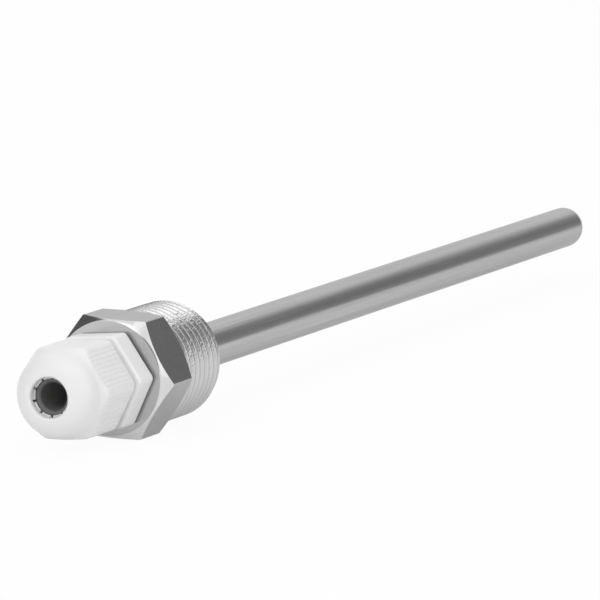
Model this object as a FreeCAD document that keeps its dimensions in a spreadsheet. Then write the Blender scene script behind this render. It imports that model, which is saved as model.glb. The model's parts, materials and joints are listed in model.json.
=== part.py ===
"""Screw-in sensor pocket with a cable gland, in millimetres.

A stainless tube with a closed round tip is set in a hexagon fitting with a pipe
thread, and a nylon gland closes the open end. Everything is turned about X: the
tip points to +X, the gland to -X, and +Z is up as the part lies, a little rolled.
The origin is the centre of the sealing shoulder, where the thread meets the hexagon.
"""
import FreeCAD, Part
import math
import os

import Sketcher

# Driving dimensions: alias, value in millimetres or degrees, what it is
SIZES = (
    ("insertion_length", 200.0, "sealing shoulder to tip"),
    ("tube_diameter", 8.0, "outside of the pocket tube"),
    ("tube_wall", 0.5, "wall of the tube and of its round tip"),
    ("socket_clearance", 0.02, "radial room of the tube in its socket"),
    ("weld_size", 0.9, "leg of the weld round the tube"),
    ("thread_diameter", 20.955, "crest of the pipe thread"),
    ("thread_length", 14.7, "shoulder to the end of the thread"),
    ("thread_chamfer", 1.1, "bevel at the start of the thread"),
    ("hex_across_flats", 21.0, "spanner size of the steel hexagon"),
    ("hex_height", 10.0, "shoulder to the gland face"),
    ("hex_corner_radius", 0.5, "rounded corners of the hexagon bar"),
    ("hex_face_step", 0.35, "face circle inside the flats"),
    ("hex_chamfer_angle", 40.0, "slope of the hexagon's two chamfers"),
    ("lying_roll", 2.6, "roll of the hexagon from flat up, as the part lies"),
    ("gland_thread_diameter", 12.5, "both threads of the gland"),
    ("gland_thread_length", 8.0, "gland thread below its flange"),
    ("thread_clearance", 0.08, "radial room in both gland threads"),
    ("hole_spare_depth", 2.2, "hole past the end of the gland thread"),
    ("hole_mouth_bevel", 0.5, "bevel at the mouth of the gland hole"),
    ("drill_angle", 59.0, "half angle of the hole's conical floor"),
    ("seat_web", 3.0, "hole floor to the seat of the tube"),
    ("gasket_thickness", 0.5, "flat ring under the gland flange"),
    ("gasket_width", 1.1, "ring width, bore to rim"),
    ("gasket_clearance", 0.15, "radial room of the ring on the thread"),
    ("flange_thickness", 5.2, "hexagon flange of the gland"),
    ("flange_step", 0.1, "flange flat outside the nut flat"),
    ("flange_corner_radius", 1.0, "rounded corners of the flange"),
    ("flange_bevel", 0.6, "bevel round both faces of the flange"),
    ("flange_turn", -8.0, "flange turned from the steel hexagon"),
    ("gland_bore", 7.0, "passage through the gland"),
    ("cap_thread_length", 8.0, "gland thread in front of the flange"),
    ("claw_count", 10, "claws round the seal"),
    ("claw_step", 0.55, "claw outside below the thread crest"),
    ("claw_thickness", 0.6, "wall of a claw"),
    ("claw_gap", 0.4, "claws to the cone inside the nut"),
    ("claw_turn", -18.5, "first slot from a corner of the steel hexagon"),
    ("slot_width", 0.35, "slot between two claws"),
    ("slot_length", 7.0, "slot from the tip of the claws"),
    ("seal_seat", 6.0, "flange front to the seat of the seal"),
    ("seal_clearance", 0.05, "radial room of the seal in the claws"),
    ("seal_recess", 0.25, "seal behind the tips of the claws"),
    ("seal_bevel", 0.6, "bevel at both mouths of the seal"),
    ("cable_bore", 5.0, "hole through the seal"),
    ("nut_gap", 1.4, "flange front to the nut"),
    ("nut_length", 15.6, "whole cap nut"),
    ("nut_wall", 1.7, "wall of the nut under its flats"),
    ("nut_corner_radius", 1.8, "rounded corners of the nut"),
    ("nut_turn", -6.0, "nut turned from the steel hexagon"),
    ("nut_thread_depth", 10.6, "thread bore of the nut"),
    ("nut_cone_step", 0.45, "end of the inner cone outside the mouth"),
    ("nut_mouth", 7.1, "round opening in the dome"),
    ("nut_lip", 1.0, "wall of the dome at its opening"),
    ("nut_lip_bevel", 0.5, "bevelled edge of the opening"),
    ("dome_radius", 4.0, "rounding of the dome"),
    ("dome_step", 0.38, "dome inside the nut flats"),
    ("dome_land", 0.33, "straight stretch between dome and shoulder"),
    ("shoulder_angle", 45.0, "slope that trims the nut's corners"),
)

# Room by which a cutting section reaches past the solid that it cuts
OVERCUT = 1.0
FULL_TURN = 360

# Radii, as expressions on the sheet
TUBE_RADIUS = "(dim.tube_diameter / 2)"
TUBE_BORE_RADIUS = "(dim.tube_diameter / 2 - dim.tube_wall)"
SOCKET_RADIUS = "(dim.tube_diameter / 2 + dim.socket_clearance)"
THREAD_RADIUS = "(dim.thread_diameter / 2)"
GLAND_THREAD_RADIUS = "(dim.gland_thread_diameter / 2)"
GLAND_HOLE_RADIUS = "(dim.gland_thread_diameter / 2 + dim.thread_clearance)"
HEX_FLAT = "(dim.hex_across_flats / 2)"
HEX_FACE_RADIUS = f"({HEX_FLAT} - dim.hex_face_step)"
HEX_CORNER_RADIUS = "(dim.hex_across_flats / sqrt(3))"
NUT_FLAT = f"({GLAND_HOLE_RADIUS} + dim.nut_wall)"
FLANGE_FLAT = f"({NUT_FLAT} + dim.flange_step)"
GASKET_BORE_RADIUS = f"({GLAND_THREAD_RADIUS} + dim.gasket_clearance)"
CLAW_RADIUS = f"({GLAND_THREAD_RADIUS} - dim.claw_step)"
MOUTH_RADIUS = "(dim.nut_mouth / 2)"
CONE_END_RADIUS = f"({MOUTH_RADIUS} + dim.nut_cone_step)"
CLAW_TIP_RADIUS = f"({CONE_END_RADIUS} - dim.claw_gap / 2)"
CABLE_RADIUS = "(dim.cable_bore / 2)"
DOME_BASE_RADIUS = f"({NUT_FLAT} - dim.dome_step)"

# Rolls about X, measured from the lying hexagon
FLANGE_ROLL = "(dim.lying_roll + dim.flange_turn)"
CLAW_ROLL = "(dim.lying_roll + dim.claw_turn)"
NUT_ROLL = "(dim.lying_roll + dim.nut_turn)"

# Stations on the gland side, as distances from the shoulder towards -X
FLANGE_REAR = "(dim.hex_height + dim.gasket_thickness)"
FLANGE_FRONT = f"({FLANGE_REAR} + dim.flange_thickness)"
SEAL_SEAT = f"({FLANGE_FRONT} + dim.seal_seat)"
CAP_THREAD_END = f"({FLANGE_FRONT} + dim.cap_thread_length)"
NUT_REAR = f"({FLANGE_FRONT} + dim.nut_gap)"
NUT_FRONT = f"({NUT_REAR} + dim.nut_length)"
CONE_START = f"({NUT_REAR} + dim.nut_thread_depth)"
CONE_END = f"({NUT_FRONT} - dim.nut_lip)"
CLAW_BEND = f"({CONE_START} - dim.claw_gap)"
CLAW_TIP = f"({CONE_END} - dim.claw_gap)"
SEAL_FRONT = f"({CLAW_TIP} - dim.seal_recess)"

# Stations on the tube side, as distances from the shoulder towards +X
GLAND_THREAD_END = f"(dim.gland_thread_length - {FLANGE_REAR})"
HOLE_FLOOR = f"({GLAND_THREAD_END} + dim.hole_spare_depth)"
DRILL_CONE = f"(({GLAND_HOLE_RADIUS} - {TUBE_BORE_RADIUS}) / tan(dim.drill_angle * 1deg))"
HOLE_FLOOR_END = f"({HOLE_FLOOR} + {DRILL_CONE})"
TUBE_SEAT = f"({HOLE_FLOOR} + dim.seat_web)"

doc = FreeCAD.newDocument("sensor_pocket")
sheet = doc.addObject("Spreadsheet::Sheet", "dim")
for row, (alias, value, meaning) in enumerate(SIZES, start=1):
    sheet.set(f"A{row}", meaning)
    sheet.set(f"B{row}", str(value))
    sheet.setAlias(f"B{row}", alias)
doc.recompute()


def new_body(label):
    """An empty body whose label names its file."""
    body = doc.addObject("PartDesign::Body", label)
    body.Label = label
    return body


def origin_feature(body, role):
    """The plane or axis of the body's own origin that has this role."""
    return next(feature for feature in body.Origin.OriginFeatures if feature.Role == role)


def degrees(expression):
    """An expression that turns a plain number of degrees into an angle."""
    return f"{expression} * 1deg"


def pin_coordinate(sketch, name, kind, edge, point, expression):
    """Bind one coordinate of a sketch point to an expression on the sheet."""
    value = float(sketch.evalExpression(expression))
    if value < 0:
        index = sketch.addConstraint(Sketcher.Constraint(kind, edge, point, -1, 1, -value))
        expression = f"-({expression})"
    else:
        index = sketch.addConstraint(Sketcher.Constraint(kind, -1, 1, edge, point, value))
    sketch.renameConstraint(index, name)
    sketch.setExpression(f"Constraints.{name}", expression)


def arc_between(start, end, radius, side):
    """The shorter arc from start to end; side is +1 to bulge left of the way, -1 right."""
    chord = end - start
    half = chord.Length / 2
    left = FreeCAD.Vector(-chord.y, chord.x, 0).normalize()
    depth = math.sqrt(max(radius * radius - half * half, 0.0))
    centre = (start + end) / 2 - left * (side * depth)
    first, last = (start, end) if side < 0 else (end, start)
    angles = [math.atan2(point.y - centre.y, point.x - centre.x) for point in (first, last)]
    circle = Part.Circle(centre, FreeCAD.Vector(0, 0, 1), radius)
    return Part.ArcOfCircle(circle, angles[0], angles[1])


def outline(body, name, role, corners):
    """A closed sketch on an origin plane, with every corner bound to the sheet.

    A corner is (x, y), or (x, y, radius, side) where an arc leads on to the next corner.
    """
    sketch = body.newObject("Sketcher::SketchObject", name)
    sketch.AttachmentSupport = [(origin_feature(body, role), "")]
    sketch.MapMode = "FlatFace"
    points = []
    for corner in corners:
        x, y = (float(sketch.evalExpression(text)) for text in corner[:2])
        points.append(FreeCAD.Vector(x, y, 0))
    ends = []
    for number, corner in enumerate(corners):
        start, end = points[number], points[(number + 1) % len(points)]
        if len(corner) == 2:
            edge = sketch.addGeometry(Part.LineSegment(start, end))
            ends.append((edge, 1, 2))
        else:
            radius = float(sketch.evalExpression(corner[2]))
            edge = sketch.addGeometry(arc_between(start, end, radius, corner[3]))
            ends.append((edge, 1, 2) if corner[3] < 0 else (edge, 2, 1))
    for number, (edge, _, last) in enumerate(ends):
        following, following_first, _ = ends[(number + 1) % len(ends)]
        sketch.addConstraint(
            Sketcher.Constraint("Coincident", edge, last, following, following_first))
    for number, corner in enumerate(corners):
        edge, first, _ = ends[number]
        if corner[0] == "0":
            sketch.addConstraint(Sketcher.Constraint("PointOnObject", edge, first, -2))
        else:
            pin_coordinate(sketch, f"x{number}", "DistanceX", edge, first, corner[0])
        if corner[1] == "0":
            sketch.addConstraint(Sketcher.Constraint("PointOnObject", edge, first, -1))
        else:
            pin_coordinate(sketch, f"y{number}", "DistanceY", edge, first, corner[1])
        if len(corner) == 4:
            radius = float(sketch.evalExpression(corner[2]))
            index = sketch.addConstraint(Sketcher.Constraint("Radius", edge, radius))
            sketch.renameConstraint(index, f"radius{number}")
            sketch.setExpression(f"Constraints.radius{number}", corner[2])
    doc.recompute()
    return sketch


def turn(body, name, corners, cut=False):
    """Add or cut a half section (x along the axis, y the radius) turned about X."""
    sketch = outline(body, f"{name}_section", "XY_Plane", corners)
    kind = "PartDesign::Groove" if cut else "PartDesign::Revolution"
    before = body.Shape.Volume if cut else 0.0
    feature = body.newObject(kind, name)
    feature.Profile = sketch
    feature.ReferenceAxis = (sketch, ["H_Axis"])
    feature.Angle = FULL_TURN
    doc.recompute()
    if cut and feature.Shape.Volume >= before:
        raise RuntimeError(f"{name} cuts nothing")
    return feature


def hexagon(body, name, flat, station, length, turn_angle):
    """Pad a hexagon towards -X; flat is half its width across flats."""
    side = f"({flat} * 2 / sqrt(3))"
    corners = [
        (side, "0"),
        (f"{side} / 2", flat),
        (f"-{side} / 2", flat),
        (f"-{side}", "0"),
        (f"-{side} / 2", f"-{flat}"),
        (f"{side} / 2", f"-{flat}"),
    ]
    sketch = outline(body, f"{name}_outline", "YZ_Plane", corners)
    sketch.setExpression("AttachmentOffset.Base.z", f"-{station}")
    sketch.setExpression("AttachmentOffset.Rotation.Angle", degrees(turn_angle))
    pad = body.newObject("PartDesign::Pad", name)
    pad.Profile = sketch
    pad.Reversed = True
    pad.setExpression("Length", length)
    doc.recompute()
    return pad


def round_corners(body, name, hexagon_pad, radius):
    """Round the six long edges of a hexagon."""
    edges = []
    for number, edge in enumerate(hexagon_pad.Shape.Edges, start=1):
        along = edge.Vertexes[-1].Point - edge.Vertexes[0].Point
        if abs(along.x) > abs(along.y) + abs(along.z):
            edges.append(f"Edge{number}")
    fillet = body.newObject("PartDesign::Fillet", name)
    fillet.Base = (hexagon_pad, edges)
    fillet.setExpression("Radius", radius)
    doc.recompute()
    return fillet


def pocket_tube():
    """Drawn tube with its far end closed to a half sphere."""
    body = new_body("pocket_tube")
    tip_centre = f"(dim.insertion_length - {TUBE_RADIUS})"
    turn(body, "tube_wall_turned", [
        (TUBE_SEAT, TUBE_BORE_RADIUS),
        (TUBE_SEAT, TUBE_RADIUS),
        (tip_centre, TUBE_RADIUS, TUBE_RADIUS, 1),
        ("dim.insertion_length", "0"),
        ("dim.insertion_length - dim.tube_wall", "0", TUBE_BORE_RADIUS, -1),
        (tip_centre, TUBE_BORE_RADIUS),
    ])
    return body


def hex_fitting():
    """Turned fitting: chamfered hexagon, pipe thread, gland hole and tube socket."""
    body = new_body("hex_fitting")
    bar = hexagon(body, "spanner_hexagon", HEX_FLAT, "0", "dim.hex_height", "dim.lying_roll")
    round_corners(body, "bar_corners", bar, "dim.hex_corner_radius")
    chamfer_slope = "tan(dim.hex_chamfer_angle * 1deg)"
    past_corners = f"({HEX_CORNER_RADIUS} + {OVERCUT})"
    turn(body, "front_chamfer", [
        ("-dim.hex_height", HEX_FACE_RADIUS),
        (f"({past_corners} - {HEX_FACE_RADIUS}) * {chamfer_slope} - dim.hex_height", past_corners),
        (f"-dim.hex_height - {OVERCUT}", past_corners),
        (f"-dim.hex_height - {OVERCUT}", HEX_FACE_RADIUS),
    ], cut=True)
    turn(body, "rear_chamfer", [
        ("0", HEX_FLAT),
        (f"({HEX_FLAT} - {past_corners}) * {chamfer_slope}", past_corners),
        (f"{OVERCUT}", past_corners),
        (f"{OVERCUT}", HEX_FLAT),
    ], cut=True)
    thread_end_radius = f"({THREAD_RADIUS} - dim.thread_chamfer)"
    weld_radius = f"({SOCKET_RADIUS} + dim.weld_size)"
    turn(body, "thread_and_weld", [
        ("0", "0"),
        ("0", THREAD_RADIUS),
        ("dim.thread_length - dim.thread_chamfer", THREAD_RADIUS),
        ("dim.thread_length", thread_end_radius),
        ("dim.thread_length", weld_radius),
        ("dim.thread_length + dim.weld_size", SOCKET_RADIUS),
        ("dim.thread_length + dim.weld_size", "0"),
    ])
    mouth_radius = f"({GLAND_HOLE_RADIUS} + dim.hole_mouth_bevel)"
    turn(body, "gland_hole_and_socket", [
        (f"-dim.hex_height - {OVERCUT}", "0"),
        (f"-dim.hex_height - {OVERCUT}", mouth_radius),
        ("-dim.hex_height", mouth_radius),
        ("dim.hole_mouth_bevel - dim.hex_height", GLAND_HOLE_RADIUS),
        (HOLE_FLOOR, GLAND_HOLE_RADIUS),
        (HOLE_FLOOR_END, TUBE_BORE_RADIUS),
        (TUBE_SEAT, TUBE_BORE_RADIUS),
        (TUBE_SEAT, SOCKET_RADIUS),
        (f"dim.thread_length + dim.weld_size + {OVERCUT}", SOCKET_RADIUS),
        (f"dim.thread_length + dim.weld_size + {OVERCUT}", "0"),
    ], cut=True)
    return body


def gland_gasket():
    """Flat ring that seals the gland flange on the steel face."""
    body = new_body("gland_gasket")
    rim_radius = f"({GASKET_BORE_RADIUS} + dim.gasket_width)"
    turn(body, "gasket_ring", [
        ("-dim.hex_height", GASKET_BORE_RADIUS),
        ("-dim.hex_height", rim_radius),
        (f"-{FLANGE_REAR}", rim_radius),
        (f"-{FLANGE_REAR}", GASKET_BORE_RADIUS),
    ])
    return body


def gland_body():
    """Moulded gland: hexagon flange, a thread at each end and a ring of claws."""
    body = new_body("gland_body")
    flange = hexagon(
        body, "flange", FLANGE_FLAT, FLANGE_REAR, "dim.flange_thickness", FLANGE_ROLL)
    rounded = round_corners(body, "flange_corners", flange, "dim.flange_corner_radius")
    stations = [face.CenterOfMass.x for face in rounded.Shape.Faces]
    ends = [stations.index(min(stations)), stations.index(max(stations))]
    bevel = body.newObject("PartDesign::Chamfer", "flange_bevel")
    bevel.Base = (rounded, [f"Face{number + 1}" for number in ends])
    bevel.setExpression("Size", "dim.flange_bevel")
    doc.recompute()
    turn(body, "threads_and_claws", [
        (GLAND_THREAD_END, "0"),
        (GLAND_THREAD_END, GLAND_THREAD_RADIUS),
        (f"-{CAP_THREAD_END}", GLAND_THREAD_RADIUS),
        (f"-{CAP_THREAD_END}", CLAW_RADIUS),
        (f"-{CLAW_BEND}", CLAW_RADIUS),
        (f"-{CLAW_TIP}", CLAW_TIP_RADIUS),
        (f"-{CLAW_TIP}", "0"),
    ])
    passage = "(dim.gland_bore / 2)"
    turn(body, "passage_and_seal_seat", [
        (f"{GLAND_THREAD_END} + {OVERCUT}", "0"),
        (f"{GLAND_THREAD_END} + {OVERCUT}", passage),
        (f"-{SEAL_SEAT}", passage),
        (f"-{SEAL_SEAT}", f"{CLAW_RADIUS} - dim.claw_thickness"),
        (f"-{CLAW_BEND}", f"{CLAW_RADIUS} - dim.claw_thickness"),
        (f"-{CLAW_TIP}", f"{CLAW_TIP_RADIUS} - dim.claw_thickness"),
        (f"-{CLAW_TIP} - {OVERCUT}", f"{CLAW_TIP_RADIUS} - dim.claw_thickness"),
        (f"-{CLAW_TIP} - {OVERCUT}", "0"),
    ], cut=True)
    slot_sketch = outline(body, "slot_outline", "XY_Plane", [
        (f"dim.slot_length - {CLAW_TIP}", "0"),
        (f"dim.slot_length - {CLAW_TIP}", f"{CLAW_RADIUS} + {OVERCUT}"),
        (f"-{CLAW_TIP} - {OVERCUT}", f"{CLAW_RADIUS} + {OVERCUT}"),
        (f"-{CLAW_TIP} - {OVERCUT}", "0"),
    ])
    slot_sketch.AttachmentOffset = FreeCAD.Placement(
        FreeCAD.Vector(), FreeCAD.Rotation(FreeCAD.Vector(1, 0, 0), 1))
    slot_sketch.setExpression("AttachmentOffset.Rotation.Angle", degrees(CLAW_ROLL))
    slot = body.newObject("PartDesign::Pocket", "claw_slot")
    slot.Profile = slot_sketch
    slot.Midplane = True
    slot.setExpression("Length", "dim.slot_width")
    doc.recompute()
    ring = body.newObject("PartDesign::PolarPattern", "claw_slots")
    ring.Originals = [slot]
    ring.Axis = (origin_feature(body, "X_Axis"), [""])
    ring.Angle = FULL_TURN
    ring.setExpression("Occurrences", "dim.claw_count")
    body.Tip = ring
    doc.recompute()
    return body


def seal_insert():
    """Rubber sleeve inside the claws, bevelled at both mouths of its bore."""
    body = new_body("seal_insert")
    outside = f"({CLAW_RADIUS} - dim.claw_thickness - dim.seal_clearance)"
    tip_outside = f"({CLAW_TIP_RADIUS} - dim.claw_thickness - dim.seal_clearance)"
    slope = f"(({CLAW_RADIUS} - {CLAW_TIP_RADIUS}) / ({CLAW_TIP} - {CLAW_BEND}))"
    turn(body, "seal_sleeve", [
        (f"-{SEAL_SEAT}", f"{CABLE_RADIUS} + dim.seal_bevel"),
        (f"-{SEAL_SEAT}", outside),
        (f"-{CLAW_BEND}", outside),
        (f"-{SEAL_FRONT}", f"{tip_outside} + dim.seal_recess * {slope}"),
        (f"-{SEAL_FRONT}", f"{CABLE_RADIUS} + dim.seal_bevel"),
        (f"dim.seal_bevel - {SEAL_FRONT}", CABLE_RADIUS),
        (f"-{SEAL_SEAT} - dim.seal_bevel", CABLE_RADIUS),
    ])
    return body


def cap_nut():
    """Domed nut that turns on the gland and squeezes the claws with its inner cone."""
    body = new_body("cap_nut")
    blank = hexagon(body, "nut_hexagon", NUT_FLAT, NUT_REAR, "dim.nut_length", NUT_ROLL)
    round_corners(body, "nut_corners", blank, "dim.nut_corner_radius")
    dome_start = f"({NUT_FRONT} - dim.dome_radius)"
    outside = f"({NUT_FLAT} * 2 / sqrt(3) + {OVERCUT})"
    shoulder_start = f"({dome_start} - dim.dome_land)"
    shoulder_length = f"(({outside} - {DOME_BASE_RADIUS}) / tan(dim.shoulder_angle * 1deg))"
    turn(body, "dome", [
        (f"-{NUT_FRONT}", f"{DOME_BASE_RADIUS} - dim.dome_radius", "dim.dome_radius", 1),
        (f"-{dome_start}", DOME_BASE_RADIUS),
        (f"-{shoulder_start}", DOME_BASE_RADIUS),
        (f"{shoulder_length} - {shoulder_start}", outside),
        (f"-{NUT_FRONT} - {OVERCUT}", outside),
        (f"-{NUT_FRONT} - {OVERCUT}", f"{DOME_BASE_RADIUS} - dim.dome_radius"),
    ], cut=True)
    lip_outside = f"({MOUTH_RADIUS} + dim.nut_lip_bevel)"
    turn(body, "thread_cone_and_mouth", [
        (f"{OVERCUT} - {NUT_REAR}", "0"),
        (f"{OVERCUT} - {NUT_REAR}", GLAND_HOLE_RADIUS),
        (f"-{CONE_START}", GLAND_HOLE_RADIUS),
        (f"-{CONE_END}", CONE_END_RADIUS),
        (f"-{CONE_END}", MOUTH_RADIUS),
        (f"dim.nut_lip_bevel - {NUT_FRONT}", MOUTH_RADIUS),
        (f"-{NUT_FRONT}", lip_outside),
        (f"-{NUT_FRONT} - {OVERCUT}", lip_outside),
        (f"-{NUT_FRONT} - {OVERCUT}", "0"),
    ], cut=True)
    return body


bodies = [pocket_tube(), hex_fitting(), gland_gasket(), gland_body(), seal_insert(), cap_nut()]
doc.recompute()

for item in doc.Objects:
    if "Invalid" in item.State or "Error" in item.State:
        raise RuntimeError(f"{item.Label} failed: {item.State}")
for body in bodies:
    if body.Shape.isNull() or not body.Shape.isValid() or len(body.Shape.Solids) != 1:
        raise RuntimeError(f"{body.Label} is not one valid solid")

os.makedirs("parts", exist_ok=True)
for body in bodies:
    body.Shape.exportStep(os.path.join("parts", f"{body.Label}.step"))
    box = body.Shape.BoundBox
    print(f"{body.Label}: {body.Shape.Volume:.1f} mm3, x {box.XMin:.2f} to {box.XMax:.2f}")
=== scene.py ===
"""Looks of the sensor pocket, in metres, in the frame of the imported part."""
import json
import math

import bmesh
import bpy
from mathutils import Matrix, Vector


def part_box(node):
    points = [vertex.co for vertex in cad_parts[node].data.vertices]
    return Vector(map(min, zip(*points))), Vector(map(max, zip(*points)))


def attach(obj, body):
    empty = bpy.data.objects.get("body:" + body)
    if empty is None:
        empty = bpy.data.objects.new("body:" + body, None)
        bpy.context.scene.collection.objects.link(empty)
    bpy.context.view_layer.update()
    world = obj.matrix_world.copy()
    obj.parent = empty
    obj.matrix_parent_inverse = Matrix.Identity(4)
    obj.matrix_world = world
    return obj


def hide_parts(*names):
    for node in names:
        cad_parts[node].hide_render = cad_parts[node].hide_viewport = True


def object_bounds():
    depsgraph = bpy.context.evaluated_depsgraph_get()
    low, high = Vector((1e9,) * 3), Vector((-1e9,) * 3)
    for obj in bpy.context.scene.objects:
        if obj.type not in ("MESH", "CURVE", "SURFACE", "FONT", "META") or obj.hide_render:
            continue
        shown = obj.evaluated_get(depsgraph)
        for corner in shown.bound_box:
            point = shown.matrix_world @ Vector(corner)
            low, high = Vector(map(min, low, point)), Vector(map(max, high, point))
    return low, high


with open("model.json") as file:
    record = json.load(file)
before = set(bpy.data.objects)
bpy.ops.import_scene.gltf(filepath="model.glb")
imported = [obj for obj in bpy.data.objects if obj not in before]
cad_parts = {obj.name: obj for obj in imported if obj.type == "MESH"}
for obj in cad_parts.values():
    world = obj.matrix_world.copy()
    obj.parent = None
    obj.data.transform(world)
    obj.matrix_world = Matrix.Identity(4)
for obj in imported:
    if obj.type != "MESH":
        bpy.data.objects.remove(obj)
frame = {"record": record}
cad_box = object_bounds()


# Pocket tube: the long sleeve that stands in the pipe and keeps the probe dry.
# Thin stainless tube, drawn to size and polished along its length, with its far end
# spun to a closed round tip and its open end set in the fitting.
MM = 0.001
TURNED_FACETS = 128
SAME_POINT = 0.0005 * MM


def draw(name, points):
    """A new piece that is one line of edges from point to point in the XY plane."""
    bpy.ops.object.select_all(action="DESELECT")
    bpy.ops.mesh.primitive_plane_add(size=MM)
    piece = bpy.context.object
    piece.name = name
    piece.data.name = name
    bpy.ops.object.mode_set(mode="EDIT")
    bpy.ops.mesh.select_mode(type="VERT")
    bpy.ops.mesh.merge(type="CENTER")
    bpy.ops.transform.translate(value=(*points[0], 0))
    for start, end in zip(points, points[1:]):
        step = (end[0] - start[0], end[1] - start[1], 0)
        bpy.ops.mesh.extrude_vertices_move(TRANSFORM_OT_translate={"value": step})
    bpy.ops.object.mode_set(mode="OBJECT")
    return piece


def arc(centre, radius, start, end, parts):
    """Points on an arc; the angles are in degrees, from +X towards +Y."""
    angles = [math.radians(start + (end - start) * part / parts) for part in range(parts + 1)]
    return [(centre[0] + radius * math.cos(angle), centre[1] + radius * math.sin(angle))
            for angle in angles]


def turned(name, section, facets=TURNED_FACETS):
    """A half section of points (x, radius), spun about X into a closed skin."""
    piece = draw(name, section)
    bpy.ops.object.mode_set(mode="EDIT")
    bpy.ops.mesh.select_all(action="SELECT")
    bpy.ops.mesh.spin(steps=facets, angle=2 * math.pi, center=(0, 0, 0), axis=(1, 0, 0))
    bpy.ops.mesh.select_all(action="SELECT")
    bpy.ops.mesh.remove_doubles(threshold=SAME_POINT)
    bpy.ops.mesh.normals_make_consistent(inside=False)
    bpy.ops.object.mode_set(mode="OBJECT")
    return piece


def take(piece):
    """Make this piece the one that the next operators work on."""
    bpy.ops.object.select_all(action="DESELECT")
    piece.select_set(True)
    bpy.context.view_layer.objects.active = piece


def shade(piece, sharp_angle):
    """Smooth shading that keeps wide faces flat, and edges sharper than the angle crisp."""
    take(piece)
    bpy.ops.object.shade_smooth_by_angle(angle=math.radians(sharp_angle))
    weighted = piece.modifiers.new("wide_faces_flat", "WEIGHTED_NORMAL")
    weighted.keep_sharp = True
    bpy.ops.object.modifier_apply(modifier=weighted.name)


class Wire:
    """A socket of a node tree: sums on it add Math nodes, and node() adds any other node."""

    def __init__(self, tree, socket=None):
        self.tree = tree
        self.socket = socket

    def node(self, kind, settings, values, output=0):
        """Add a node: its settings go in first, then a value or a wire for each socket."""
        made = self.tree.nodes.new(kind)
        for name, value in settings.items():
            setattr(made, name, value)
        for name, value in values.items():
            if isinstance(value, Wire):
                self.tree.links.new(value.socket, made.inputs[name])
            else:
                made.inputs[name].default_value = value
        return Wire(self.tree, made.outputs[output])

    def math(self, operation, *values):
        """Add a Math node that works on these values and wires."""
        return self.node("ShaderNodeMath", {"operation": operation}, dict(enumerate(values)))

    def into(self, node, name):
        """Lead this wire to a socket of a node."""
        self.tree.links.new(self.socket, node.inputs[name])

    def __add__(self, other):
        return self.math("ADD", self, other)

    def __sub__(self, other):
        return self.math("SUBTRACT", self, other)

    def __rsub__(self, other):
        return self.math("SUBTRACT", other, self)

    def __mul__(self, other):
        return self.math("MULTIPLY", self, other)

    __radd__ = __add__
    __rmul__ = __mul__


def new_finish(name, constants):
    """A material with the values that are the same all over: it, its shader and its wire."""
    material = bpy.data.materials.new(name)
    material.use_nodes = True
    shader = material.node_tree.nodes["Principled BSDF"]
    for socket, value in constants.items():
        shader.inputs[socket].default_value = value
    return material, shader, Wire(material.node_tree)


def grain(wire, place, scale, detail):
    """Noise from 0 to 1, with its own scale along each axis, in lines a metre."""
    stretched = wire.node("ShaderNodeMapping", {}, {"Vector": place, "Scale": scale})
    return wire.node("ShaderNodeTexNoise", {}, {
        "Vector": stretched, "Scale": 1.0, "Detail": detail})


# Sockets of the Mix node share their names, so those for colours go by number.
MIX_FACTOR = 0
MIX_DARK = 6
MIX_LIGHT = 7
MIX_COLOUR = 2


def grey_between(wire, factor, dark, light):
    """A grey that runs from dark to light with the factor."""
    return wire.node("ShaderNodeMix", {"data_type": "RGBA"}, {
        MIX_FACTOR: factor,
        MIX_DARK: (dark, dark, dark, 1),
        MIX_LIGHT: (light, light, light, 1),
    }, MIX_COLOUR)


def relief(wire, height, strength, depth):
    """A bump from a height between 0 and 1."""
    return wire.node("ShaderNodeBump", {}, {
        "Strength": strength, "Distance": depth, "Height": height})


tube_low, tube_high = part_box("pocket_tube")
tube_radius = tube_high.y
tube_wall = 0.5 * MM
tube_bore = tube_radius - tube_wall
tube_seat = tube_low.x
tip_centre = tube_high.x - tube_radius
tip_parts = 20
straight_parts = 12
straight = [tube_seat + (tip_centre - tube_seat) * part / straight_parts
            for part in range(straight_parts)]

tube = turned("pocket_tube_drawn", [
    *arc((tip_centre, 0), tube_bore, start=0, end=90, parts=tip_parts),
    (tube_seat, tube_bore),
    *[(x, tube_radius) for x in straight],
    *arc((tip_centre, 0), tube_radius, start=90, end=0, parts=tip_parts),
])
shade(tube, sharp_angle=30)

bare_steel = {"Metallic": 1.0, "Specular Tint": (0.75, 0.75, 0.75, 1)}
tube_roughness = 0.19
tube_finish, tube_shader, wire = new_finish("drawn_steel", bare_steel)
place = wire.node("ShaderNodeTexCoord", {}, {}, "Object")
fine_lines = grain(wire, place, scale=(45, 5200, 5200), detail=4.0)
streaks = grain(wire, place, scale=(14, 900, 900), detail=2.0)
rubbed = grain(wire, place, scale=(160, 160, 160), detail=4.0)
polish_marks = streaks * 0.55 + fine_lines * 0.45
grey_between(wire, polish_marks, dark=0.36, light=0.72).into(tube_shader, "Base Color")
(tube_roughness + fine_lines * 0.06 + rubbed * 0.06).into(tube_shader, "Roughness")
relief(wire, fine_lines, strength=0.06, depth=0.02 * MM).into(tube_shader, "Normal")
tube.data.materials.append(tube_finish)
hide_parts("pocket_tube")
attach(tube, "pocket")


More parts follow.
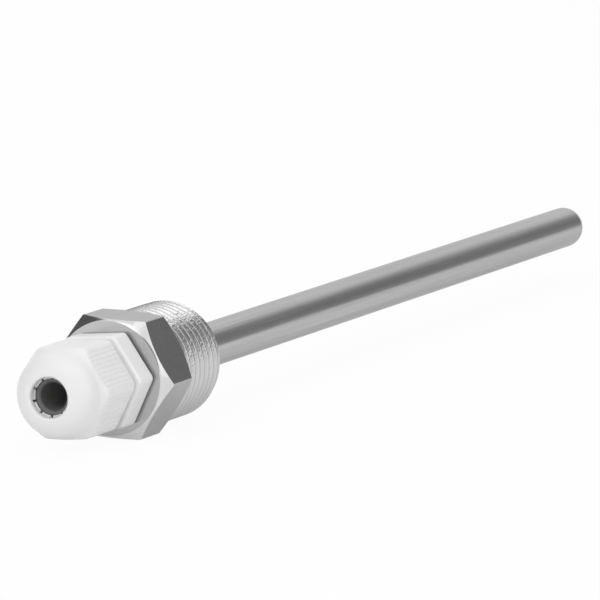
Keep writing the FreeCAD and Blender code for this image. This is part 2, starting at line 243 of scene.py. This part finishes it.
# Hexagon fitting: it screws into the pipe wall and carries the tube and the gland.
# Turned from stainless hexagon bar: the corners are chamfered at both ends on the lathe,
# the pipe thread is cut on its nose, and a bead of weld closes it round the tube.
fitting_low, fitting_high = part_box("hex_fitting")
mounts = {mount["name"]: mount for mount in frame["record"]["mounts"]}
lying_roll = 2.6
hex_flat = 10.5 * MM
gland_face = fitting_low.x
weld_end = fitting_high.x
thread_crest = mounts["process_thread"]["dims"]["r_mm"] * MM
thread_pitch = 1.814 * MM
thread_depth = 1.05 * MM
thread_chamfer = 1.1 * MM
weld_size = 0.9 * MM
thread_end = weld_end - weld_size
socket_radius = tube_radius + 0.02 * MM
hex_corner = 0.5 * MM
face_circle = hex_flat - 0.35 * MM
chamfer_slope = math.tan(math.radians(40))
edge_round = 0.15 * MM
broken_edge = 0.15 * MM
broken_edge_angle = math.radians(25)
wide_face = 20 * MM * MM
gland_hole = 6.33 * MM
hole_mouth = 0.5 * MM
hole_floor = tube_seat - 3.0 * MM
drill_slope = math.radians(59)
past = 1.0 * MM
NOSE_FACETS = 192
WINDING_FACETS = 96


def settle(piece):
    """Put the piece's own place, turn and scale into its mesh."""
    take(piece)
    bpy.ops.object.transform_apply(location=True, rotation=True, scale=True)


def over_corners(flat):
    """Half the width of a hexagon over its corners, from half its width over its flats."""
    return flat / math.cos(math.pi / 6)


def hexagon(name, flat, start, end, turn):
    """A six-sided bar along X; flat is half its width, turn is in degrees about X."""
    bpy.ops.object.select_all(action="DESELECT")
    bpy.ops.mesh.primitive_cylinder_add(
        vertices=6, radius=over_corners(flat), depth=end - start,
        location=((start + end) / 2, 0, 0), rotation=(0, math.pi / 2, 0))
    piece = bpy.context.object
    piece.name = name
    piece.data.name = name
    settle(piece)
    piece.rotation_euler = (math.radians(turn), 0, 0)
    settle(piece)
    return piece


def combine(piece, operation, tool):
    """Cut, join or trim the piece with a tool, which is used up."""
    take(piece)
    modifier = piece.modifiers.new("combine", "BOOLEAN")
    modifier.operation = operation
    modifier.solver = "EXACT"
    modifier.object = tool
    bpy.ops.object.modifier_apply(modifier=modifier.name)
    bpy.data.objects.remove(tool)


def soften(piece, width, segments, test):
    """Round the edges that pass the test."""
    take(piece)
    bpy.ops.object.mode_set(mode="EDIT")
    bpy.ops.mesh.select_all(action="SELECT")
    bpy.ops.mesh.remove_doubles(threshold=SAME_POINT)
    bpy.ops.mesh.select_all(action="DESELECT")
    bpy.ops.mesh.select_mode(type="EDGE")
    shape = bmesh.from_edit_mesh(piece.data)
    for edge in shape.edges:
        edge.select_set(test(edge))
    bmesh.update_edit_mesh(piece.data)
    bpy.ops.mesh.bevel(
        offset=width, offset_type="WIDTH", segments=segments, affect="EDGES", clamp_overlap=False)
    bpy.ops.object.mode_set(mode="OBJECT")


def runs_along_x(edge):
    """True for an edge along the axis."""
    along = edge.verts[1].co - edge.verts[0].co
    return abs(along.x) > abs(along.y) + abs(along.z)


def bounds_a_flat(edge):
    """True for an edge where a wide flat meets a chamfer."""
    widest = max(face.calc_area() for face in edge.link_faces)
    return widest > wide_face and edge.calc_face_angle(0) > broken_edge_angle


def screw(name, crest, depth, pitch, start, end):
    """A one-start thread along X, wound from the shape of one turn and cut off flat."""
    # One turn in shares of the pitch and of the depth: root, flank, rounded crest, flank, root.
    shape = ((0.0, 0.0), (0.09, 0.03), (0.15, 0.12), (0.36, 0.88), (0.41, 0.97), (0.46, 1.0),
             (0.54, 1.0), (0.59, 0.97), (0.64, 0.88), (0.85, 0.12), (0.91, 0.03), (1.0, 0.0))
    spare_turns = 2
    root = crest - depth
    lead_in = start - spare_turns * pitch
    piece = draw(name, [(lead_in + along * pitch, root + height * depth) for along, height in shape])
    winding = piece.modifiers.new("winding", "SCREW")
    winding.axis = "X"
    winding.screw_offset = pitch
    winding.iterations = math.ceil((end - start) / pitch) + 2 * spare_turns
    winding.steps = WINDING_FACETS
    winding.render_steps = WINDING_FACETS
    bpy.ops.object.modifier_apply(modifier=winding.name)
    bpy.ops.object.mode_set(mode="EDIT")
    bpy.ops.mesh.select_all(action="SELECT")
    bpy.ops.mesh.remove_doubles(threshold=SAME_POINT)
    bpy.ops.mesh.normals_make_consistent(inside=False)
    for station, outwards in ((start, -1), (end, 1)):
        bpy.ops.mesh.select_all(action="SELECT")
        bpy.ops.mesh.bisect(
            plane_co=(station, 0, 0), plane_no=(outwards, 0, 0), use_fill=True,
            clear_outer=True, threshold=SAME_POINT)
    bpy.ops.mesh.select_all(action="SELECT")
    bpy.ops.mesh.normals_make_consistent(inside=False)
    bpy.ops.object.mode_set(mode="OBJECT")
    return piece


fitting = hexagon("hex_fitting_turned", hex_flat, gland_face - past, past, lying_roll)
soften(fitting, hex_corner, segments=6, test=runs_along_x)
both_chamfers_meet = (hex_flat + face_circle - gland_face / chamfer_slope) / 2
combine(fitting, "INTERSECT", turned("chamfers", [
    (gland_face, 0),
    (gland_face, face_circle - edge_round),
    (gland_face + edge_round * chamfer_slope / 4, face_circle),
    (gland_face + edge_round * chamfer_slope, face_circle + edge_round),
    (-(both_chamfers_meet - hex_flat) * chamfer_slope, both_chamfers_meet),
    (0, hex_flat),
    (0, 0),
], NOSE_FACETS))

nose = screw("pipe_thread", thread_crest, thread_depth, thread_pitch,
             start=-2 * past, end=weld_end + past)
combine(nose, "INTERSECT", turned("nose_blank", [
    (-past, 0),
    (-past, thread_crest + past),
    (thread_end - thread_chamfer - past, thread_crest + past),
    (thread_end, thread_crest - thread_chamfer),
    *arc((thread_end, socket_radius), weld_size, start=90, end=0, parts=8),
    (weld_end, 0),
], NOSE_FACETS))
combine(fitting, "UNION", nose)
combine(fitting, "DIFFERENCE", turned("gland_hole", [
    (gland_face - past, 0),
    (gland_face - past, gland_hole + hole_mouth),
    (gland_face, gland_hole + hole_mouth),
    (gland_face + hole_mouth, gland_hole),
    (hole_floor, gland_hole),
    (hole_floor + (gland_hole - tube_bore) / math.tan(drill_slope), tube_bore),
    (tube_seat, tube_bore),
    (tube_seat, socket_radius),
    (weld_end + past, socket_radius),
    (weld_end + past, 0),
]))
soften(fitting, broken_edge, segments=2, test=bounds_a_flat)
shade(fitting, sharp_angle=25)


def step_between(wire, value, start, end):
    """0 up to the start value, 1 from the end value on, and a soft step between them."""
    return wire.node("ShaderNodeMapRange", {"interpolation_type": "SMOOTHSTEP"}, {
        "Value": value, "From Min": start, "From Max": end}, "Result")


fitting_roughness = 0.11
fitting_finish, fitting_shader, wire = new_finish("turned_steel", bare_steel)
place = wire.node("ShaderNodeTexCoord", {}, {}, "Object")
across = wire.node("ShaderNodeVectorMath", {"operation": "MULTIPLY"}, {0: place, 1: (0, 1, 1)})
radius = wire.node("ShaderNodeVectorMath", {"operation": "LENGTH"}, {0: across}, "Value")
along = wire.node("ShaderNodeSeparateXYZ", {}, {"Vector": place}, "X")
ring_place = wire.node("ShaderNodeCombineXYZ", {}, {"X": radius, "Y": along})
rings = grain(wire, ring_place, scale=(5200, 5200, 1), detail=3.0)
drawn = grain(wire, place, scale=(80, 2600, 2600), detail=4.0)
cloud = grain(wire, place, scale=(240, 240, 240), detail=4.0)
nicks = grain(wire, place, scale=(2200, 2200, 2200), detail=3.0)
facing = wire.node("ShaderNodeSeparateXYZ", {}, {
    "Vector": wire.node("ShaderNodeTexCoord", {}, {}, "Normal")}, "X")
end_face = step_between(wire, facing.math("ABSOLUTE", facing), start=0.3, end=0.6)
on_nose = step_between(wire, along, start=-0.2 * MM, end=0.1 * MM)
# Faces that look back along X, that is the face under the gland, which the colour below darkens as
# painted shade.
shaded_face = step_between(wire, facing, start=-0.9, end=-0.98)
turned_here = end_face.math("MAXIMUM", end_face, on_nose)
marks = rings * turned_here + drawn * (1 - turned_here)
# Chamfers and thread flanks are brighter, partly for their turned finish and partly as a painted
# highlight, and the face under the gland is darker as painted shade under its flange.
brightness = marks * 0.2 + cloud * 0.2 + end_face * (0.55 - on_nose * 0.25) - shaded_face * 0.4
grey_between(wire, brightness, dark=0.43, light=0.85).into(fitting_shader, "Base Color")
(fitting_roughness + marks * 0.05 + cloud * 0.06).into(fitting_shader, "Roughness")
scratches = marks * (0.012 + turned_here * 0.038) + nicks * on_nose
relief(wire, scratches, strength=0.32, depth=0.2 * MM).into(fitting_shader, "Normal")
fitting.data.materials.append(fitting_finish)
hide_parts("hex_fitting")
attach(fitting, "pocket")


# Gland gasket: the flat ring that keeps water out under the gland's flange.
# Punched from black rubber, it lies on the steel face and is pressed by the flange.
gasket_low, gasket_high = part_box("gland_gasket")
gasket_rim = gasket_high.z
gasket_bore = 6.4 * MM
gasket_round = 0.12 * MM
round_centre = gasket_rim - gasket_round
gasket = turned("gland_gasket_punched", [
    (gasket_high.x, gasket_bore),
    *arc((gasket_high.x - gasket_round, round_centre), gasket_round, start=0, end=90, parts=4),
    *arc((gasket_low.x + gasket_round, round_centre), gasket_round, start=90, end=180, parts=4),
    (gasket_low.x, gasket_bore),
    (gasket_high.x, gasket_bore),
])
shade(gasket, sharp_angle=40)


def rubber(name):
    """Matt moulded rubber: it, its shader, its wire and its faint bloom."""
    material, shader, wire = new_finish(name, {"Specular IOR Level": 0.35})
    place = wire.node("ShaderNodeTexCoord", {}, {}, "Object")
    bloom = grain(wire, place, scale=(700, 700, 700), detail=4.0)
    pores = grain(wire, place, scale=(6000, 6000, 6000), detail=2.0)
    (0.5 + bloom * 0.2).into(shader, "Roughness")
    relief(wire, pores, strength=0.2, depth=0.02 * MM).into(shader, "Normal")
    return material, shader, wire, bloom


gasket_finish, gasket_shader, wire, bloom = rubber("gasket_black")
grey_between(wire, bloom, dark=0.03, light=0.06).into(gasket_shader, "Base Color")
gasket.data.materials.append(gasket_finish)
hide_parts("gland_gasket")
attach(gasket, "pocket")


# Gland body: the fixed half of the cable gland, screwed into the steel fitting.
# One moulding of white nylon: a hexagon flange for the spanner, a thread at each end,
# and in front a ring of ten claws that close on the seal.
body_low, body_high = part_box("gland_body")
seal_low, seal_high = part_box("seal_insert")
flange_rear = gasket_low.x
flange_front = flange_rear - 5.2 * MM
flange_flat = 8.13 * MM
flange_turn = lying_roll - 8.0
flange_corner = 1.0 * MM
flange_round = 0.85 * MM
gland_crest = 6.25 * MM
gland_pitch = 1.27 * MM
gland_depth = 0.5 * MM
thread_lead = gland_depth + 0.05 * MM
cap_thread_end = flange_front - 8.0 * MM
claw_tip = body_low.x
claw_bend = claw_tip + 4.0 * MM
claw_outside = 5.7 * MM
claw_tip_outside = 3.8 * MM
claw_wall = 0.6 * MM
claw_inside = claw_outside - claw_wall
claw_tip_inside = claw_tip_outside - claw_wall
claw_undercut = 0.02 * MM
passage = 3.5 * MM
slot_width = 0.35 * MM
slot_length = 7.0 * MM
slot_mouth = 0.3 * MM
slot_turn = lying_roll - 18.5
claws = 10
ROD_FACETS = 24


def at_station(x):
    """A test for edges that lie in the plane across the axis at x."""
    return lambda edge: all(abs(vertex.co.x - x) < SAME_POINT for vertex in edge.verts)


gland = hexagon("gland_body_moulded", flange_flat, flange_front, flange_rear, flange_turn)
soften(gland, flange_corner, segments=8, test=runs_along_x)
soften(gland, flange_round, segments=5, test=at_station(flange_front))
soften(gland, flange_round, segments=5, test=at_station(flange_rear))

core = screw("gland_thread", gland_crest, gland_depth, gland_pitch,
             start=claw_tip - 3 * past, end=body_high.x + 3 * past)
combine(core, "INTERSECT", turned("gland_blank", [
    (body_high.x, 0),
    (body_high.x, gland_crest - thread_lead),
    (body_high.x - thread_lead, gland_crest),
    (body_high.x - 2 * thread_lead, gland_crest + past),
    (cap_thread_end + 2 * thread_lead, gland_crest + past),
    (cap_thread_end + thread_lead, gland_crest),
    (cap_thread_end, claw_outside - claw_undercut),
    (claw_bend, claw_outside - claw_undercut),
    (claw_tip, claw_tip_outside),
    (claw_tip, 0),
]))
combine(gland, "UNION", core)
combine(gland, "DIFFERENCE", turned("gland_passage", [
    (body_high.x + past, 0),
    (body_high.x + past, passage),
    (seal_high.x, passage),
    (seal_high.x, claw_inside),
    (claw_bend, claw_inside),
    (claw_tip, claw_tip_inside),
    (claw_tip - past, claw_tip_inside),
    (claw_tip - past, 0),
]))
# Each blade goes right across and cuts two slots, and a rod then widens them at the claws' tips.
for number in range(claws // 2):
    slot_angle = math.radians(slot_turn) + 2 * math.pi * number / claws
    bpy.ops.object.select_all(action="DESELECT")
    bpy.ops.mesh.primitive_cube_add(size=1)
    blade = bpy.context.object
    blade.scale = (slot_length + past, 2 * (claw_outside + past), slot_width)
    blade.location = (claw_tip + (slot_length - past) / 2, 0, 0)
    settle(blade)
    blade.rotation_euler = (slot_angle, 0, 0)
    settle(blade)
    combine(gland, "DIFFERENCE", blade)
    bpy.ops.object.select_all(action="DESELECT")
    bpy.ops.mesh.primitive_cylinder_add(
        vertices=ROD_FACETS, radius=slot_mouth, depth=2 * (claw_outside + past),
        location=(claw_tip, 0, 0), rotation=(slot_angle + math.pi / 2, 0, 0))
    mouth_rod = bpy.context.object
    settle(mouth_rod)
    combine(gland, "DIFFERENCE", mouth_rod)
shade(gland, sharp_angle=35)


def nylon(name, light):
    """Satin white nylon: a little light goes in, and the mould's fine spark texture shows."""
    material, shader, wire = new_finish(name, {
        "Subsurface Weight": 0.25,
        "Subsurface Radius": (1.0, 1.0, 1.0),
        "Subsurface Scale": 0.6 * MM,
        "IOR": 1.53,
    })
    place = wire.node("ShaderNodeTexCoord", {}, {}, "Object")
    cloud = grain(wire, place, scale=(260, 260, 260), detail=3.0)
    spark = grain(wire, place, scale=(7000, 7000, 7000), detail=2.0)
    grey_between(wire, cloud, dark=light - 0.02, light=light + 0.02).into(shader, "Base Color")
    (0.3 + cloud * 0.12 + spark * 0.06).into(shader, "Roughness")
    relief(wire, spark, strength=0.05, depth=0.02 * MM).into(shader, "Normal")
    return material


# The gland's nylon is a little lighter than the nut's, as painted light that lifts its claws where
# they lie in shade inside the nut's mouth.
gland.data.materials.append(nylon("gland_white", light=0.88))
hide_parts("gland_body")
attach(gland, "pocket")


# Seal insert: the soft sleeve that the claws press on the lead.
# Moulded from dark rubber, bevelled at both mouths of its bore, it sits inside the claws.
cable_bore = mounts["cable_entry"]["dims"]["r_mm"] * MM
seal_bevel = 0.6 * MM
seal_clearance = 0.05 * MM
seal_edge = 0.1 * MM
seal_outside = claw_inside - seal_clearance
claw_slope = (claw_outside - claw_tip_outside) / (claw_bend - claw_tip)
seal_front_outside = claw_tip_inside - seal_clearance + (seal_low.x - claw_tip) * claw_slope
bore_start = seal_low.x + seal_bevel
seal = turned("seal_insert_moulded", [
    (seal_high.x - seal_bevel, cable_bore),
    (seal_high.x, cable_bore + seal_bevel),
    (seal_high.x, seal_outside),
    (claw_bend, seal_outside),
    (seal_low.x + seal_edge, seal_front_outside),
    (seal_low.x, seal_front_outside - seal_edge),
    *arc((bore_start, cable_bore + seal_bevel), seal_bevel, start=180, end=270, parts=8),
    (seal_high.x - seal_bevel, cable_bore),
])
shade(seal, sharp_angle=40)
# The bore is paler inwards, for the light that reaches it through the white nylon.
seal_finish, seal_shader, wire, bloom = rubber("seal_grey")
place = wire.node("ShaderNodeTexCoord", {}, {}, "Object")
along = wire.node("ShaderNodeSeparateXYZ", {}, {"Vector": place}, "X")
inwards = wire.node("ShaderNodeMapRange", {}, {
    "Value": along, "From Min": bore_start, "From Max": seal_high.x}, "Result")
paleness = bloom * 0.1 + inwards * inwards * 0.9
grey_between(wire, paleness, dark=0.12, light=0.7).into(seal_shader, "Base Color")
seal.data.materials.append(seal_finish)
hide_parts("seal_insert")
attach(seal, "pocket")


# Cap nut: turned by hand or spanner, its inner cone drives the claws on to the lead.
# Moulded from the same white nylon: a hexagon with ribbed flats and soft corners, whose
# rounded shoulder leads into a dome with the cable's opening.
nut_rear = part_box("cap_nut")[1].x
nut_front = nut_rear - 15.6 * MM
nut_flat = 8.03 * MM
nut_turn = lying_roll - 6.0
nut_corner = 1.8 * MM
dome_radius = 4.0 * MM
dome_base = nut_flat - 0.38 * MM
dome_start = nut_front + dome_radius
hollow = 0.8 * MM
shoulder_slope = 45.0
nut_thread = 6.33 * MM
cone_start = nut_rear - 10.6 * MM
cone_end = nut_front + 1.0 * MM
mouth = 3.55 * MM
cone_mouth = mouth + 0.45 * MM
lip = 0.5 * MM
skin_grid = 0.2 * MM
skin_rounds = 40
rib_spacing = 0.83 * MM
ribs_on_a_flat = 9
rib_depth = 0.10 * MM
rib_radius = 0.45 * MM


def melt(piece, grid, rounds):
    """Rebuild the skin on an even grid and relax it, which softens every edge a little."""
    take(piece)
    even = piece.modifiers.new("even_skin", "REMESH")
    even.mode = "VOXEL"
    even.voxel_size = grid
    bpy.ops.object.modifier_apply(modifier=even.name)
    relaxed = piece.modifiers.new("relaxed_skin", "SMOOTH")
    relaxed.factor = 0.5
    relaxed.iterations = rounds
    bpy.ops.object.modifier_apply(modifier=relaxed.name)


nut = hexagon("cap_nut_moulded", nut_flat, nut_front - past, nut_rear, nut_turn)
soften(nut, nut_corner, segments=8, test=runs_along_x)
hollow_end = arc((dome_start, dome_base + hollow), hollow,
                 start=-90, end=shoulder_slope - 90, parts=6)
trim_start, trim_radius = hollow_end[-1]
trim_reach = over_corners(nut_flat) + past
trim_end = trim_start + (trim_reach - trim_radius) / math.tan(math.radians(shoulder_slope))
dome = arc((dome_start, dome_base - dome_radius), dome_radius, start=90, end=180, parts=20)
combine(nut, "INTERSECT", turned("dome_blank", [
    (nut_rear + past, 0),
    (nut_rear + past, trim_reach),
    (trim_end, trim_reach),
    *reversed(hollow_end),
    *dome[1:],
    (nut_front, 0),
], NOSE_FACETS))
melt(nut, skin_grid, skin_rounds)
combine(nut, "DIFFERENCE", turned("nut_inside", [
    (nut_rear + past, 0),
    (nut_rear + past, nut_thread),
    (cone_start, nut_thread),
    (cone_end, cone_mouth),
    (cone_end, mouth),
    *arc((nut_front + lip, mouth + lip), lip, start=270, end=180, parts=8),
    (nut_front - past, mouth + lip),
    (nut_front - past, 0),
]))
# The grooves between the ribs: one rod, copied across a flat, and that row round the six flats.
bpy.ops.object.select_all(action="DESELECT")
bpy.ops.mesh.primitive_cylinder_add(
    vertices=ROD_FACETS, radius=rib_radius, depth=nut_rear - dome_start + past,
    location=((nut_rear + dome_start + past) / 2, -rib_spacing * (ribs_on_a_flat - 1) / 2,
              nut_flat + rib_radius - rib_depth),
    rotation=(0, math.pi / 2, 0))
groove = bpy.context.object
settle(groove)
row = groove.modifiers.new("row", "ARRAY")
row.count = ribs_on_a_flat
row.use_relative_offset = False
row.use_constant_offset = True
row.constant_offset_displace = (0, rib_spacing, 0)
bpy.ops.object.modifier_apply(modifier=row.name)
groove.rotation_euler = (math.radians(nut_turn), 0, 0)
settle(groove)
bpy.ops.object.mode_set(mode="EDIT")
bpy.ops.mesh.select_all(action="SELECT")
bpy.ops.mesh.spin(steps=6, dupli=True, angle=2 * math.pi, center=(0, 0, 0), axis=(1, 0, 0))
bpy.ops.mesh.select_all(action="SELECT")
bpy.ops.mesh.remove_doubles(threshold=SAME_POINT)
bpy.ops.object.mode_set(mode="OBJECT")
combine(nut, "DIFFERENCE", groove)
shade(nut, sharp_angle=35)
nut.data.materials.append(nylon("nut_white", light=0.86))
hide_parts("cap_nut")
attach(nut, "cap")


# Studio: a white table in a white tent, which is open to the dark on the right, on the left
# and round the camera, and lit from outside above and beside the camera. The steel takes its
# dark and bright bands from those places, as in the photograph.
floor_height = cad_box[0].z
floor_size = 8.0
paper_grey = 0.9
white_seen = 0.95
white_mirrored = 0.45
bpy.ops.object.select_all(action="DESELECT")
bpy.ops.mesh.primitive_plane_add(size=floor_size, location=(0, 0, floor_height))
table = bpy.context.object
table.name = "table"
table_paper = bpy.data.materials.new("table_paper")
table_paper.use_nodes = True
table_paper.node_tree.nodes.clear()
wire = Wire(table_paper.node_tree)
straight_look, mirrored, passed = [
    wire.node("ShaderNodeLightPath", {}, {}, ray)
    for ray in ("Is Camera Ray", "Is Glossy Ray", "Is Transmission Ray")]
seen = wire.math("MINIMUM", straight_look + passed + mirrored * white_mirrored, 1.0)
paper = wire.node("ShaderNodeBsdfDiffuse", {}, {"Color": (paper_grey, paper_grey, paper_grey, 1)})
white = wire.node("ShaderNodeEmission", {}, {"Color": (1, 1, 1, 1), "Strength": 1.0})
sheet = wire.node("ShaderNodeMixShader", {}, {0: seen * white_seen, 1: paper, 2: white})
sheet.into(table_paper.node_tree.nodes.new("ShaderNodeOutputMaterial"), "Surface")
table.data.materials.append(table_paper)

tent = bpy.data.worlds.new("tent")
tent.use_nodes = True
tent.node_tree.nodes.clear()
wire = Wire(tent.node_tree)
towards = wire.node("ShaderNodeTexCoord", {}, {}, "Generated")


def round_patch(heading, height, inner, outer):
    """1 inside a round patch of the tent, 0 outside it, with a soft edge; all in degrees."""
    sideways = math.cos(math.radians(height))
    axis = (sideways * math.cos(math.radians(heading)),
            sideways * math.sin(math.radians(heading)),
            math.sin(math.radians(height)))
    near = wire.node(
        "ShaderNodeVectorMath", {"operation": "DOT_PRODUCT"}, {0: towards, 1: axis}, "Value")
    return step_between(
        wire, near, start=math.cos(math.radians(outer)), end=math.cos(math.radians(inner)))


tent_light = 0.92
dark_right = round_patch(heading=-33, height=18, inner=8, outer=34) * 0.69
dark_left = round_patch(heading=102, height=29, inner=22, outer=32) * 0.82
dark_front = round_patch(heading=198, height=20, inner=13, outer=24) * 0.72
lit_side = round_patch(heading=230, height=18, inner=10, outer=30) * 0.25
lit_top = round_patch(heading=178, height=46, inner=8, outer=20) * 0.75
cloth = tent_light - dark_right - dark_left - dark_front + lit_side + lit_top
straight_look = wire.node("ShaderNodeLightPath", {}, {}, "Is Camera Ray")
strength = cloth + straight_look * (1 - cloth)
glow = wire.node("ShaderNodeBackground", {}, {"Color": (1, 1, 1, 1), "Strength": strength})
glow.into(tent.node_tree.nodes.new("ShaderNodeOutputWorld"), "Surface")
bpy.context.scene.world = tent

# The steel mirrors the lit cloth and not the softbox, which would burn out its thread.
softbox_towards = Vector((-0.73, 0.02, 0.66)).normalized()
softbox_distance = 1.3
key_light = bpy.data.lights.new("overhead_softbox", "AREA")
key_light.shape = "RECTANGLE"
key_light.size = 1.1
key_light.size_y = 0.8
key_light.energy = 3.0
softbox = bpy.data.objects.new("overhead_softbox", key_light)
softbox.location = softbox_towards * softbox_distance
softbox.rotation_euler = softbox_towards.to_track_quat("Z", "Y").to_euler()
softbox.visible_glossy = False
bpy.context.scene.collection.objects.link(softbox)

# The camera stands where the photograph's stood, as fitted to the edges seen in it.
heading = 24.9613
look_down = 8.7562
lens = bpy.data.cameras.new("photo_view")
lens.sensor_width = 36.0
lens.lens = 379.3
lens.clip_start = 0.01
lens.clip_end = 20.0
camera = bpy.data.objects.new("photo_view", lens)
camera.location = (-0.98087, -0.48884, 0.18117)
camera.rotation_euler = (math.radians(90 - look_down), 0, math.radians(heading - 90))
bpy.context.scene.collection.objects.link(camera)
bpy.context.scene.camera = camera
bpy.context.scene.view_settings.view_transform = "Standard"
